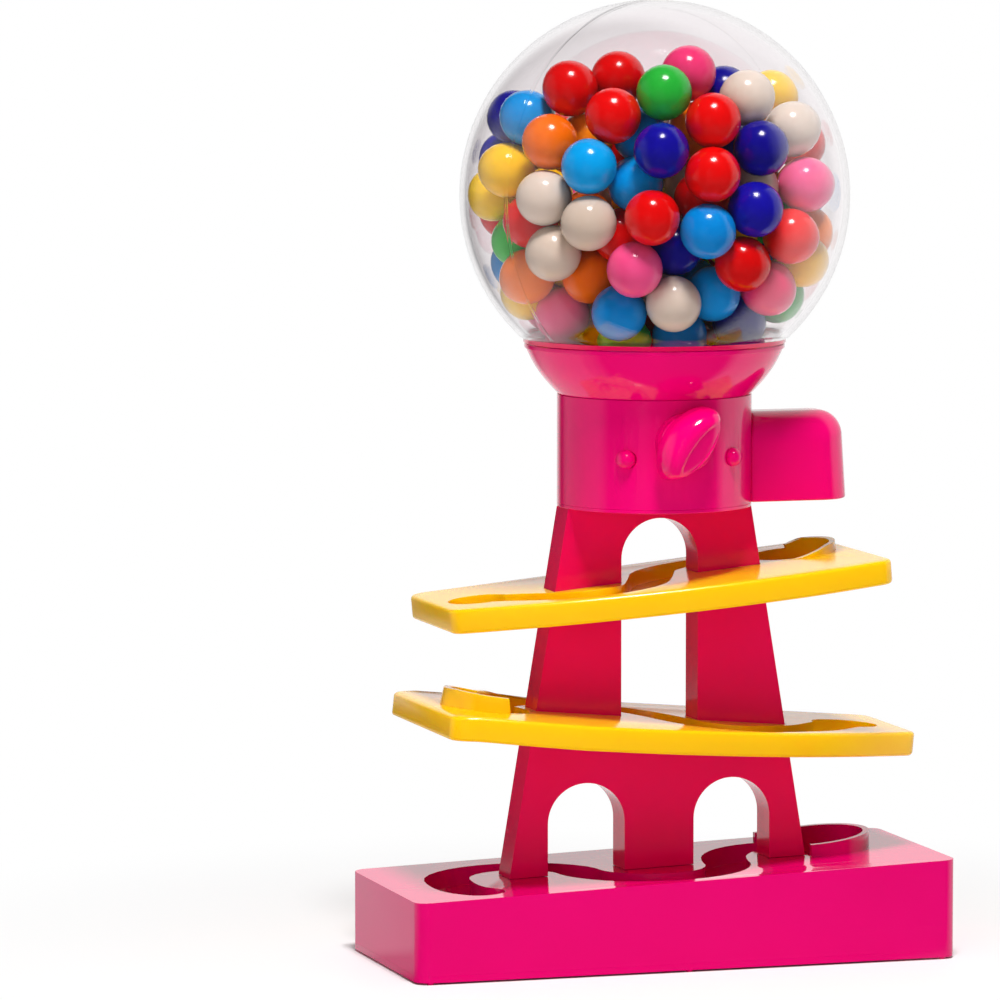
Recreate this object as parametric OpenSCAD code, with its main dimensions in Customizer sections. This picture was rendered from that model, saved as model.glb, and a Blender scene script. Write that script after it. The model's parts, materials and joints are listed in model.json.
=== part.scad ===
// Toy gumball machine with a zig-zag ball run. Millimetres, +Z up.
// Origin: centre of the base, on the surface that the machine stands on.
// The turning knob faces -Y, and the exit hood points along +X.

/* [Base] */
// Length of the wedge-shaped base
base_l = 136; // [128:1:150]
// Depth of the base
base_w = 57; // [54:1:64]
// Height of the deck above the table at its low end
deck_low = 19.5; // [18:0.5:24]
// Rise of the deck towards its high end
deck_rise = 4.7; // [3:0.1:7]
// Radius of the upright corners
base_corner_r = 3.5; // [2:0.5:6]
// Thickness of the base's moulded walls and deck
base_wall = 2; // [1.6:0.1:2.4]
// Thickness of the bottom cover
cover_t = 1.6; // [1.2:0.1:2.4]
// Height of the nub feet under the cover
nub_h = 0.5; // [0.3:0.1:1]

/* [Ball run] */
// Diameter of a gumball
ball_d = 13.2; // [12.8:0.1:13.6]
// Width of the running channels; the ball rides on both edges
channel_w = 11; // [10:0.1:11.6]
// Depth of the channel in the base
base_channel_d = 4.5; // [4:0.1:6]
// Depth of the channel in a track
track_channel_d = 3.6; // [3.2:0.1:3.8]
// Play around a ball where it drops through a hole
drop_play = 0.7; // [0.5:0.1:1.5]
// Thickness of the channel troughs and guard walls
trough_t = 1.5; // [1.2:0.1:1.8]

/* [Tracks] */
// Thickness of a track at its rim
track_t = 5.9; // [5.6:0.1:7]
// Thickness of a track's deck and skirt
track_wall = 2; // [1.6:0.1:2.2]
// Height of the upper track at the middle of the tower
upper_z = 92.2; // [90:0.5:95]
// Tilt of the upper track, high end at +X
upper_tilt = 5.3; // [4:0.1:6]
// Reach of the upper track to its outlet end and to its inlet end
upper_reach = [54.5, 53]; // [50:0.5:58]
// Reach of the upper track to the front and to the back
upper_sides = [30.5, 25]; // [24:0.5:32]
// Height of the lower track at the middle of the tower
lower_z = 58.3; // [57:0.5:61]
// Tilt of the lower track, high end at -X
lower_tilt = 5; // [4:0.1:6]
// Reach of the lower track to its outlet end and to its inlet end
lower_reach = [61.5, 61]; // [58:0.5:64]
// Reach of the lower track to the front and to the back
lower_sides = [32, 28]; // [27:0.5:34]
// Radius of the bow in a track's front edge
bow_r = 175; // [160:5:220]

/* [Tower] */
// Height of the tower's top above the table
tower_top = 109.6; // [107:0.2:113]
// Half width of the tower at its top
tower_half_top = 23.2; // [22:0.1:23.4]
// Half width of the tower at the deck
tower_half_foot = 37.7; // [36:0.1:39]
// Thickness of the two tower halves together
tower_t = 9; // [8:0.2:10]
// Wall of a tower half
tower_wall = 1.6; // [1.3:0.1:1.9]
// Width of the tower's openings
arch_w = 19.4; // [19:0.1:20]
// Width of the middle leg between the two lower arches
middle_leg_w = 17.6; // [17:0.2:18.4]

/* [Drum] */
// Outer radius of the drum
drum_r = 23.5; // [23:0.1:25]
// Height of the drum
drum_h = 27; // [26.6:0.1:28]
// Wall of the drum
drum_wall = 1.8; // [1.5:0.1:2]
// Height of the knob's axis above the drum's bottom
knob_up = 16.9; // [16.7:0.1:17.1]
// Radius of the dispensing wheel
wheel_r = 12.4; // [12:0.1:12.8]
// Radius of the knob's journal
journal_r = 3.1; // [2.9:0.1:3.4]
// Half spacing of the two dome-headed pins
pin_x = 13.4; // [13:0.1:13.8]

/* [Exit hood] */
// How far the hood reaches from the drum's axis
hood_reach = 48; // [46:0.5:50]
// Width of the hood
hood_w = 20; // [19.4:0.2:21]
// Height of the hood
hood_h = 21.4; // [21:0.1:21.8]
// Wall of the hood
hood_wall = 1.5; // [1.3:0.1:1.7]

/* [Funnel and globe] */
// Height of the funnel
funnel_h = 12.3; // [12:0.1:13]
// Radius of the funnel's lip
lip_r = 31.4; // [31.2:0.1:32]
// Outer radius of the globe
globe_r = 47; // [46:0.5:49]
// Wall of the globe
globe_wall = 1.6; // [1.4:0.1:1.8]
// Outer radius of the globe's neck
neck_r = 27.6; // [27.4:0.1:27.8]
// Twist that frees the globe's bayonet, in degrees
bayonet_twist = 25; // [15:1:35]

/* [Fits] */
// Gap between pieces that seat on each other
seat_gap = 0.1; // [0.05:0.05:0.2]
// Radial gap of a turning fit
running_gap = 0.08; // [0.04:0.01:0.1]
// Gap around the turning wheel
wheel_gap = 0.4; // [0.3:0.05:0.5]

/* [Hidden] */
$fn = 64;
eps = 0.01;
far = 200;

magenta = "#e6007e";
yellow = "#ffc600";
steel = "#b9bcc0";

// Deck of the base
deck_mid = deck_low + deck_rise / 2;
deck_tilt = atan(deck_rise / base_l);
shell_z = nub_h + cover_t;

// Ball on the two edges of a channel: how far it sinks between them
ball_r = ball_d / 2;
ball_sink = ball_r - sqrt(pow(ball_r, 2) - pow(channel_w / 2, 2));
drop_r = ball_r + drop_play;

// Tower
half_t = tower_t / 2;
tower_taper = (tower_half_foot - tower_half_top) / (tower_top - deck_mid);
arch_r = arch_w / 2;
arch_crown = 2.8;
low_arch_x = middle_leg_w / 2 + arch_r;
low_arch_z = deck_mid + 11.6;
tenon_in = 1.4;
foot_depth = 7;
tab_x = [8.5, 13.5];
tab_h = 1.9;
tower_solid_top = 7.4;
tower_screw_at = [[-18.9, 76], [18.9, 76], [-18.5, 47.9], [18.5, 47.9]];
leg_gap = 0.2;

// Screws
screw_r = 0.9;
screw_head_r = 2;
screw_head_h = 1.3;
screw_gap = 0.05;
head_gap = 0.2;
boss_r = 2.7;

// Drum, wheel and funnel
drum_z = tower_top;
drum_top = drum_z + drum_h;
drum_in = drum_r - drum_wall;
floor_t = 2.2;
knob_z = drum_z + knob_up;
wheel_half = 9;
cup_r = ball_r + 0.5;
lip_z = drum_top + funnel_h;
lip_band = 1.3;
ramp_out_z = drum_z + 3.8;
ramp_drop = 1.8;
pad_y = drum_r + 0.9;

// Globe: it stands on the lip where its sphere has narrowed to the seat radius
seat_r = 31;
globe_z = lip_z + seat_gap + sqrt(pow(globe_r, 2) - pow(seat_r, 2));
neck_h = 4;
neck_wall = 1.4;
lug_out = 0.9;
lug_h = 1.5;
lug_w = 14;
lugs = 3;
lug_play = 0.25;

// Waypoints of the ball's path, inlet first. Each passes the legs at a ball's distance.
leg_clear = half_t + ball_r + 2.1;
base_path = [[43, 6], [38, 11.8], [31.6, leg_clear + 1], [25, 11.6], [20, 5.2], [17.5, -2.5],
    [16, -9.5], [11.8, -15.8], [4.5, -19.3], [-5, -18.6], [-13.5, -13.5], [-18.6, -5], [-20.2, 3.5],
    [-26.5, 11.4], [-35, 14.6], [-44, 13], [-50.5, 6], [-52.4, -5], [-51.6, -13.5], [-49, -18.4]];
upper_path = [[37.5, 6.5], [26, 12.4], [13.5, leg_clear], [3.4, 8.6], [-1.6, -2], [-6.6, -12.2],
    [-14.5, -16.2], [-23, -15.5], [-31, -10.2], [-37, -4.5], [-44, 0]];
lower_path = [[-46.5, -4], [-41, 5.5], [-33.4, 12], [-24, 13.6], [-14, leg_clear + 0.6], [-5, 10.5],
    [1.2, 0.5], [5.2, -10.5], [11.8, -17.3], [20.5, -18], [29.5, -14.2], [37.6, -9], [43, -2.5],
    [48.5, 4]];
base_basin_r = 12.6;
upper_basin_r = 10.5;
lower_basin_r = 11.5;

// ---- Curves ----

// Point at t between b and c on a Catmull-Rom curve
function spline_at(a, b, c, d, t) = 0.5 * (2 * b + (c - a) * t
    + (2 * a - 5 * b + 4 * c - d) * t * t + (3 * b - a - 3 * c + d) * t * t * t);

// Smooth path through the points, with a few steps to each span
function spline(p, steps = 3) = [for (i = [0 : len(p) - 2]) for (k = [0 : steps - 1])
    spline_at(p[max(i - 1, 0)], p[i], p[i + 1], p[min(i + 2, len(p) - 1)], k / steps),
    p[len(p) - 1]];

// Unit vector to the left of the path at its point i
function left_of(p, i) = let (d = p[min(i + 1, len(p) - 1)] - p[max(i - 1, 0)])
    [-d[1], d[0]] / norm(d);

// Round-ended band of half width r along a path
module band(path, r) {
    last = len(path) - 1;
    polygon(concat([for (i = [0 : last]) path[i] + r * left_of(path, i)],
        [for (i = [last : -1 : 0]) path[i] - r * left_of(path, i)]));
    translate(path[0]) circle(r);
    translate(path[last]) circle(r);
}

// ---- Helpers ----

// Turns an outline drawn as (x, z) into a slab from y0 to y1
module slab_y(y0, y1) {
    translate([0, y1, 0]) rotate([90, 0, 0]) linear_extrude(y1 - y0) children();
}

// Cylinder along Y from y0 to y1, at (x, z)
module rod_y(r, x, z, y0, y1) {
    translate([x, y1, z]) rotate([90, 0, 0]) cylinder(r = r, h = y1 - y0);
}

// Rectangle with rounded corners, between two corner points
module round_rect(low, high, r) {
    for (x = [low[0] + r, high[0] - r]) {
        for (y = [low[1] + r, high[1] - r]) translate([x, y]) circle(r);
    }
    translate([low[0] + r, low[1]]) square([high[0] - low[0] - 2 * r, high[1] - low[1]]);
    translate([low[0], low[1] + r]) square([high[0] - low[0], high[1] - low[1] - 2 * r]);
}

// Pan-head screw: its head sits on z = 0 and its shank points down
module screw(length) {
    intersection() {
        cylinder(r = screw_head_r, h = screw_head_h);
        translate([0, 0, screw_head_h - 3.2]) sphere(r = 3.2);
    }
    translate([0, 0, -length]) cylinder(r = screw_r, h = length + eps);
}

// Cross recess of a screw head
module cross_slot() {
    for (a = [0, 90]) rotate(a) translate([-1.1, -0.25, screw_head_h - 0.6]) cube([2.2, 0.5, 1]);
}

module cross_screw(length) {
    difference() {
        screw(length);
        cross_slot();
    }
}

// Frame of a tilted surface: z = 0 lies on it, and its high end is at +X
module tilted(z, tilt) {
    translate([0, 0, z]) rotate([0, -tilt, 0]) children();
}

// Guard wall round an inlet basin. Its top slants from the closed end down to the deck.
// side is +1 where the closed end is at +X. arms are the reaches of the front and the back arm.
module guard(path, r, side, h_end, slant, arms) {
    c = path[0];
    x = [c[0] - side * arms[0], c[0] - side * arms[1]];
    intersection() {
        translate([0, 0, -0.5]) linear_extrude(h_end + 1.5) difference() {
            union() {
                translate(c) circle(r + trough_t);
                band(path, channel_w / 2 + trough_t);
            }
            translate(c) circle(r);
            band(path, channel_w / 2);
            // Ends of the front arm and of the back arm
            translate([side > 0 ? x[0] - far : x[0], c[1] - far]) square(far);
            translate([side > 0 ? x[1] - far : x[1], c[1]]) square(far);
        }
        translate([c[0] + side * (r + trough_t), 0, h_end]) rotate([0, -side * slant, 0])
            translate([-far, -far, -far]) cube([2 * far, 2 * far, far]);
    }
}

// ---- Base ----

// Base outline drawn in by a distance
module base_plan(inset) {
    a = [base_l / 2 - inset, base_w / 2 - inset];
    round_rect(-a, a, base_corner_r - min(inset, base_corner_r - 1));
}

// Wedge between a height and a plane that lies a depth under the deck
module wedge(inset, z, depth) {
    intersection() {
        translate([0, 0, z]) linear_extrude(far) base_plan(inset);
        tilted(deck_mid - depth, deck_tilt) translate([-far, -far, -far]) cube([2 * far, 2 * far, far]);
    }
}

// Feet of the tower: low x and high x of each, at the deck
foot_spans = [[-tower_half_foot, -low_arch_x - arch_r], [-middle_leg_w / 2, middle_leg_w / 2],
    [low_arch_x + arch_r, tower_half_foot]];

// Block of a foot's tenon, grown by a gap, down to a depth under the deck
module tenon(span, gap, depth) {
    x0 = span[0] + tenon_in - gap;
    x1 = span[1] - tenon_in + gap;
    y = half_t - tenon_in + gap;
    mid = (span[0] + span[1]) / 2;
    z = deck_mid + mid * tan(deck_tilt);
    translate([x0, -y, z - depth]) cube([x1 - x0, 2 * y, depth]);
}

function foot_mid(span) = (span[0] + span[1]) / 2;
function foot_floor(span) = deck_mid + foot_mid(span) * tan(deck_tilt) - foot_depth;

cover_screw_x = base_l / 2 - base_wall - boss_r - 1;
cover_screw_y = base_w / 2 - base_wall - boss_r - 0.6;
cover_screw_l = 7;
foot_lap = 0.4;
foot_reach = base_path[0][0] - tower_half_foot - 1.5 * foot_lap;
cover_sink = 0.9;

module base_shell() {
    run = spline(base_path);
    color(magenta) difference() {
        union() {
            difference() {
                wedge(0, shell_z, 0);
                difference() {
                    wedge(base_wall, shell_z - eps, base_wall);
                    // Trough under the channel and the basin
                    tilted(deck_mid, deck_tilt) translate([0, 0, -base_channel_d - trough_t])
                        linear_extrude(far) {
                            band(run, channel_w / 2 + trough_t);
                            translate(base_path[0]) circle(base_basin_r + trough_t);
                        }
                    // Sockets of the tower's feet
                    for (s = foot_spans) tenon(s, trough_t + seat_gap, foot_depth + trough_t);
                    // Bosses of the cover screws
                    for (x = [-cover_screw_x, cover_screw_x]) {
                        for (y = [-cover_screw_y, cover_screw_y]) {
                            translate([x, y, shell_z]) cylinder(r = boss_r, h = far);
                        }
                    }
                }
            }
            tilted(deck_mid, deck_tilt)
                guard(run, base_basin_r, 1, 4.2, 4, [foot_reach, 10]);
        }
        tilted(deck_mid, deck_tilt) {
            translate([0, 0, -base_channel_d]) linear_extrude(far) band(run, channel_w / 2);
            difference() {
                translate(concat(base_path[0], [-ball_sink])) cylinder(r = base_basin_r, h = far);
                // The foot beside the basin keeps its footing
                translate([tower_half_foot + foot_lap - far, -half_t - 1, -far])
                    cube([far, tower_t + 2, 3 * far]);
            }
        }
        for (s = foot_spans) {
            tenon(s, seat_gap, foot_depth);
            translate([foot_mid(s), 0, 0]) cylinder(r = screw_r + 0.25, h = foot_floor(s) + 1);
        }
        for (x = [-cover_screw_x, cover_screw_x]) {
            for (y = [-cover_screw_y, cover_screw_y]) {
                translate([x, y, 0]) cylinder(r = screw_r + screw_gap, h = shell_z + cover_screw_l);
            }
        }
    }
}

module base_cover() {
    nub_r = 0.8;
    nub_x = base_l / 2 - base_corner_r;
    nub_y = base_w / 2 - nub_r - 0.3;
    color(magenta) difference() {
        union() {
            translate([0, 0, nub_h]) linear_extrude(cover_t) base_plan(0);
            for (x = [-nub_x, 0, nub_x]) {
                for (y = [-nub_y, nub_y]) translate([x, y, 0]) cylinder(r = nub_r, h = nub_h + eps);
            }
        }
        for (x = [-cover_screw_x, cover_screw_x]) {
            for (y = [-cover_screw_y, cover_screw_y]) {
                translate([x, y, 0]) cylinder(r = screw_r + 0.2, h = far);
                translate([x, y, 0]) cylinder(r = screw_head_r + 0.3, h = nub_h + cover_sink);
            }
        }
    }
}

// Cover screws come up through the cover, foot screws up into the tower's tenons.
module cover_screws() {
    color(steel) for (x = [-cover_screw_x, cover_screw_x]) {
        for (y = [-cover_screw_y, cover_screw_y]) {
            translate([x, y, nub_h + cover_sink]) mirror([0, 0, 1]) cross_screw(cover_screw_l);
        }
    }
}

module foot_screws() {
    color(steel) for (s = foot_spans) {
        translate([foot_mid(s), 0, foot_floor(s) - trough_t]) mirror([0, 0, 1])
            cross_screw(trough_t + foot_depth - 2);
    }
}

// ---- Tower ----

function tower_half(z) = tower_half_top + (tower_top - z) * tower_taper;

// Underside of the lower track where the tower's opening receives it
opening_low = lower_z - track_t / cos(lower_tilt) - seat_gap;

// Tower outline in (x, z), drawn in by a distance from every edge
module tower_outline(inset) {
    slope = inset / cos(atan(tower_taper));
    top = tower_top - inset;
    low = deck_mid + seat_gap / cos(deck_tilt);
    x_top = tower_half(top) - slope;
    x_low = tower_half(low) - slope;
    lean = tan(deck_tilt);
    // The sides meet the sloping deck at different heights
    x_left = x_low / (1 - lean * tower_taper);
    x_right = x_low / (1 + lean * tower_taper);
    difference() {
        polygon([[-x_top, top], [x_top, top],
            [x_right, low + x_right * lean], [-x_left, low - x_left * lean]]);
        // Upper opening, down to the lower track
        translate([0, tower_top - arch_crown - arch_r]) circle(arch_r + inset);
        polygon([[-arch_r - inset, tower_top - arch_crown - arch_r],
            [arch_r + inset, tower_top - arch_crown - arch_r],
            [arch_r + inset, opening_low - (arch_r + inset) * tan(lower_tilt) - inset],
            [-arch_r - inset, opening_low + (arch_r + inset) * tan(lower_tilt) - inset]]);
        // Lower arches
        for (x = [-low_arch_x, low_arch_x]) {
            translate([x, low_arch_z]) circle(arch_r + inset);
            translate([x - arch_r - inset, 0]) square([2 * (arch_r + inset), low_arch_z]);
        }
    }
}

// One half of the tower, from y0 to y1, hollow towards the seam
module tower_half_shell(y0, y1, hollow0, hollow1) {
    difference() {
        slab_y(y0, y1) tower_outline(0);
        difference() {
            slab_y(hollow0, hollow1) tower_outline(tower_wall);
            translate([-far, -far, tower_top - tower_solid_top]) cube([2 * far, 2 * far, far]);
            for (p = tower_screw_at) rod_y(boss_r, p[0], p[1], y0, y1);
            translate([-far, -far, 0]) cube([2 * far, 2 * far, deck_mid + foot_block]);
        }
    }
}

foot_block = 5;

// Tabs on the tower's top that locate the drum's floor
module tower_tabs(y0, y1, gap, h) {
    for (side = [-1, 1]) {
        x = side > 0 ? tab_x[0] : -tab_x[1];
        translate([x - gap, y0 - gap, tower_top - eps])
            cube([tab_x[1] - tab_x[0] + 2 * gap, y1 - y0 + 2 * gap, h + eps]);
    }
}

tab_y = half_t - tower_wall;
screw_seat_y = half_t - 1.5;
tower_screw_l = 5.6;

module tower_front() {
    color(magenta) difference() {
        union() {
            tower_half_shell(-half_t, 0, -half_t + tower_wall, eps);
            tower_tabs(-tab_y, 0, 0, tab_h);
            // Locating pins
            for (x = [-1, 1]) rod_y(1.2, x * pin_at[0], pin_at[1], -half_t + 1, 2);
        }
        for (p = tower_screw_at) {
            rod_y(screw_r + screw_gap, p[0], p[1], screw_seat_y - tower_screw_l - 0.2, far);
        }
    }
}

pin_at = [16.5, 105.3];

module tower_back() {
    color(magenta) difference() {
        union() {
            tower_half_shell(0, half_t, -eps, half_t - tower_wall);
            tower_tabs(0, tab_y, 0, tab_h);
            // Tenons, full thickness, that stand in the base's sockets
            for (s = foot_spans) tower_tenon(s);
        }
        for (p = tower_screw_at) {
            rod_y(screw_r + head_gap, p[0], p[1], -1, far);
            rod_y(screw_head_r + head_gap, p[0], p[1], screw_seat_y, far);
        }
        for (x = [-1, 1]) rod_y(1.2 + screw_gap, x * pin_at[0], pin_at[1], -1, 2.3);
        for (s = foot_spans) {
            translate([foot_mid(s), 0, 0])
                cylinder(r = screw_r + screw_gap, h = foot_floor(s) + foot_depth - 1.5);
        }
        for (x = [-floor_screw_at[0], floor_screw_at[0]]) {
            translate([x, floor_screw_at[1], tower_top - floor_screw_l])
                cylinder(r = screw_r + screw_gap, h = far);
        }
    }
}

// Tenon below the deck, joined to the back half above it
module tower_tenon(span) {
    y = half_t - tenon_in;
    z0 = foot_floor(span) + seat_gap;
    difference() {
        tenon(span, 0, foot_depth - seat_gap);
        // The front half stands on the deck over the tenon
        tilted(deck_mid + seat_gap / 2, deck_tilt) translate([-far, -far, 0]) cube([2 * far, far, far]);
    }
    intersection() {
        translate([span[0] + tenon_in, 0, z0]) cube([span[1] - span[0] - 2 * tenon_in, y, foot_depth + 2]);
        slab_y(0, half_t) tower_block();
    }
}

// Region of the tower just above the deck, down into the sockets
module tower_block() {
    translate([-far, 0]) square([2 * far, deck_mid + foot_block]);
}

module tower_screws() {
    color(steel) for (p = tower_screw_at) {
        translate([p[0], screw_seat_y, p[1]]) rotate([-90, 0, 0]) cross_screw(tower_screw_l);
    }
}

// ---- Tracks ----

// Points of an arc
function arc_points(c, r, a0, a1, n) =
    [for (i = [0 : n]) let (a = a0 + (a1 - a0) * i / n) c + r * [cos(a), sin(a)]];

// Track outline: straight back and ends, bowed front, rounded corners.
// The front is an arc whose foremost point is at bow_x.
module track_plan(reach, sides, bow_x, inset) {
    r = 4 - inset / 2;
    x = [-reach[0] + inset + r, reach[1] - inset - r];
    back = sides[1] - inset - r;
    arc_r = bow_r - inset;
    arc_c = [bow_x, bow_r - sides[0]];
    corner = [for (k = [0, 1]) [x[k], arc_c[1] - sqrt(pow(arc_r - r, 2) - pow(x[k] - bow_x, 2))]];
    lean = [for (c = corner) atan2(c[1] - arc_c[1], c[0] - arc_c[0])];
    polygon(concat(
        arc_points([x[1], back], r, 0, 90, 8),
        arc_points([x[0], back], r, 90, 180, 8),
        arc_points(corner[0], r, 180, 360 + lean[0], 6),
        arc_points(arc_c, arc_r, 360 + lean[0] + 1, 360 + lean[1] - 1, 24),
        arc_points(corner[1], r, 360 + lean[1], 360, 8)));
}

// Legs of the tower over a span of heights, grown by a gap
module leg_slab(z0, z1, gap) {
    for (s = [-1, 1]) {
        slab_y(-half_t - gap, half_t + gap) polygon([
            [s * (arch_r - gap), z0], [s * (tower_half(z0) + gap), z0],
            [s * (tower_half(z1) + gap), z1], [s * (arch_r - gap), z1]]);
    }
}

// One track. path runs from the inlet basin to the drop hole.
module track(z, tilt, reach, sides, bow_x, path, basin_r, side, guard_h, slant, arms) {
    run = spline(path);
    drop = path[len(path) - 1];
    floor_z = -track_channel_d;
    color(yellow) difference() {
        tilted(z, tilt) difference() {
            union() {
                translate([0, 0, -track_t]) linear_extrude(track_t)
                    track_plan(reach, sides, bow_x, 0);
                guard(run, basin_r, side, guard_h, slant, arms);
            }
            // Pocket of the underside, round the trough, basin and drop hole
            difference() {
                translate([0, 0, -track_t - 1]) linear_extrude(track_t - track_wall + 1)
                    track_plan(reach, sides, bow_x, track_wall);
                translate([0, 0, floor_z - trough_t]) linear_extrude(far)
                    band(run, channel_w / 2 + trough_t);
                translate(concat(path[0], [floor_z - trough_t]))
                    cylinder(r = basin_r + trough_t, h = far);
                translate(concat(drop, [-track_t])) cylinder(r = drop_r + trough_t, h = far);
                // Collars round the legs
                rotate([0, tilt, 0]) translate([0, 0, -z])
                    leg_slab(z - 18, z + 12, leg_gap + trough_t);
            }
            translate([0, 0, floor_z]) linear_extrude(far) band(run, channel_w / 2);
            translate(concat(path[0], [-ball_sink])) cylinder(r = basin_r, h = far);
            translate(concat(drop, [-track_t - 1])) cylinder(r = drop_r, h = far);
        }
        leg_slab(z - 18, z + 12, leg_gap);
    }
}

module lower_track() {
    track(lower_z, -lower_tilt, lower_reach, lower_sides, -25, lower_path, lower_basin_r,
        -1, 6, 8, [5.5, 30]);
}

module upper_track() {
    track(upper_z, upper_tilt, upper_reach, upper_sides, 22, upper_path, upper_basin_r,
        1, 3.4, 4.5, [5.5, -3]);
}

// ---- Drum ----

flange_t = 0.9;
floor_top = drum_z + floor_t;
floor_screw_at = [18.4, 2.25];
floor_screw_l = 6.3;
floor_screw_z = drum_z + floor_t - 1.5;
window_half = ball_r + 1;
window_top = knob_z + 2;
chute_pin_z = knob_z - 4;
chute_pin_y = drum_r - 4.6;
chute_pin_r = 1.2;
chute_head_r = 1.95;
plate_y = wheel_half + wheel_gap;
plate_t = 2.2;
plate_x = 16.4;
plate_top = knob_z + 2.2;
hub_r = 4;
square_w = 3.8;
pad_r = 7.2;

module drum_floor() {
    color(magenta) difference() {
        union() {
            translate([0, 0, drum_z]) cylinder(r = drum_r, h = flange_t, $fn = 96);
            translate([0, 0, drum_z]) cylinder(r = drum_in - seat_gap, h = floor_t, $fn = 96);
        }
        translate([0, 0, -0.5]) tower_tabs(-tab_y, tab_y, seat_gap, far);
        for (x = [-floor_screw_at[0], floor_screw_at[0]]) {
            translate([x, floor_screw_at[1], drum_z - 1]) cylinder(r = screw_r + head_gap, h = far);
            translate([x, floor_screw_at[1], floor_screw_z])
                cylinder(r = screw_head_r + head_gap, h = far);
        }
    }
}

module floor_screws() {
    color(steel) for (x = [-floor_screw_at[0], floor_screw_at[0]]) {
        translate([x, floor_screw_at[1], floor_screw_z]) cross_screw(floor_screw_l - 0.3);
    }
}

module drum() {
    z0 = drum_z + flange_t;
    color(magenta) difference() {
        union() {
            difference() {
                union() {
                    translate([0, 0, z0]) cylinder(r = drum_r, h = drum_top - z0, $fn = 96);
                    // Bearing pad of the knob
                    rod_y(pad_r, 0, knob_z, -pad_y, -drum_in + 1);
                    // Bosses under the heads of the pins
                    for (x = [-pin_x, pin_x]) {
                        rod_y(chute_head_r + 0.3, x, chute_pin_z, -chute_pin_y, -chute_pin_y + 3);
                    }
                }
                translate([0, 0, z0 - 1]) cylinder(r = drum_in, h = drum_h + 2, $fn = 96);
            }
        }
        // Bore of the knob, and holes with flat seats for the pins
        rod_y(journal_r + running_gap, 0, knob_z, -drum_r - 2, 0);
        for (x = [-pin_x, pin_x]) {
            rod_y(chute_pin_r + screw_gap, x, chute_pin_z, -drum_r - 1, 0);
            rod_y(chute_head_r + 0.3, x, chute_pin_z, -drum_r - 3, -chute_pin_y);
        }
        // Exit window
        translate([0, -window_half, ramp_out_z]) cube([far, 2 * window_half, window_top - ramp_out_z]);
        // Sockets of the hood's pegs
        for (y = [-peg_y, peg_y]) translate([0, y, peg_z]) rotate([0, 90, 0])
            cylinder(r = peg_r + screw_gap, h = far);
    }
}

// Insert in the drum: two plates that carry the wheel, a cradle under it and the exit ramp
module ball_chute() {
    wheel_room = wheel_r + wheel_gap;
    cradle_x = wheel_room + 2;
    color(magenta) difference() {
        intersection() {
            translate([0, 0, floor_top]) cylinder(r = drum_in - 0.3, h = drum_h, $fn = 96);
            union() {
                for (y = [-plate_y - plate_t, plate_y]) {
                    translate([-plate_x, y, floor_top])
                        cube([2 * plate_x, plate_t, plate_top - floor_top]);
                }
                // Cradle, closed towards -X up to the funnel's shroud
                translate([-cradle_x, -plate_y, floor_top])
                    cube([cradle_x + 7, 2 * plate_y, plate_top - floor_top]);
                // Ramp and its side guides
                slab_y(-plate_y, plate_y) polygon([[0, floor_top], [drum_r, floor_top],
                    [drum_r, ramp_out_z], [6, ramp_out_z + ramp_drop], [0, ramp_out_z + ramp_drop]]);
                for (s = [-1, 1]) {
                    translate([wheel_room + 0.4, s > 0 ? window_half : -plate_y, floor_top])
                        cube([far, plate_y - window_half, 10]);
                }
            }
        }
        // Room of the wheel, and of the ball above the ramp
        rod_y(wheel_room, 0, knob_z, -plate_y, plate_y);
        slab_y(-window_half, window_half) polygon([[6, ramp_out_z + ramp_drop],
            [drum_r, ramp_out_z], [drum_r, plate_top + 1], [0, plate_top + 1], [0, knob_z]]);
        // Notches: clear of the front hub, a bearing for the rear journal
        rod_y(hub_r + 0.4, 0, knob_z, -far, 0);
        translate([-hub_r - 0.4, -far, knob_z]) cube([2 * hub_r + 0.8, far, far]);
        rod_y(journal_r + running_gap, 0, knob_z, 0, far);
        translate([-journal_r - running_gap, 0, knob_z]) cube([2 * (journal_r + running_gap), far, far]);
        for (x = [-pin_x, pin_x]) {
            rod_y(chute_pin_r + screw_gap, x, chute_pin_z, -far, -plate_y + 0.2);
        }
    }
}

module chute_pins() {
    reach = drum_r - plate_y - 4.8;
    color(magenta) for (x = [-pin_x, pin_x]) {
        rod_y(chute_pin_r, x, chute_pin_z, -chute_pin_y, -chute_pin_y + reach);
        intersection() {
            translate([x, -chute_pin_y - 0.65, chute_pin_z]) sphere(r = chute_head_r);
            translate([-far, -far - chute_pin_y, 0]) cube([2 * far, far, far]);
        }
    }
}

// ---- Exit hood ----

hood_z = drum_z + flange_t;
hood_end_r = 8.5;
hood_top_r = 6;
peg_r = 0.7;
peg_y = hood_w / 2 - hood_wall / 2;
peg_z = hood_z + 2.6;

// Hood's solid form, drawn in by a distance
module hood_form(inset, z_low) {
    top = hood_z + hood_h - inset;
    end_x = hood_reach - inset;
    tr = hood_top_r - inset;
    er = hood_end_r - inset;
    half = hood_w / 2 - inset;
    intersection() {
        slab_y(-half, half) union() {
            translate([0, z_low]) square([end_x, top - tr - z_low]);
            translate([0, z_low]) square([end_x - tr, top - z_low]);
            translate([end_x - tr, top - tr]) circle(tr);
        }
        translate([0, 0, z_low - 1]) linear_extrude(far) {
            translate([0, -half]) square([end_x - er, 2 * half]);
            translate([0, -half + er]) square([end_x, 2 * (half - er)]);
            for (s = [-1, 1]) translate([end_x - er, s * (half - er)]) circle(er);
        }
    }
}

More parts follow.
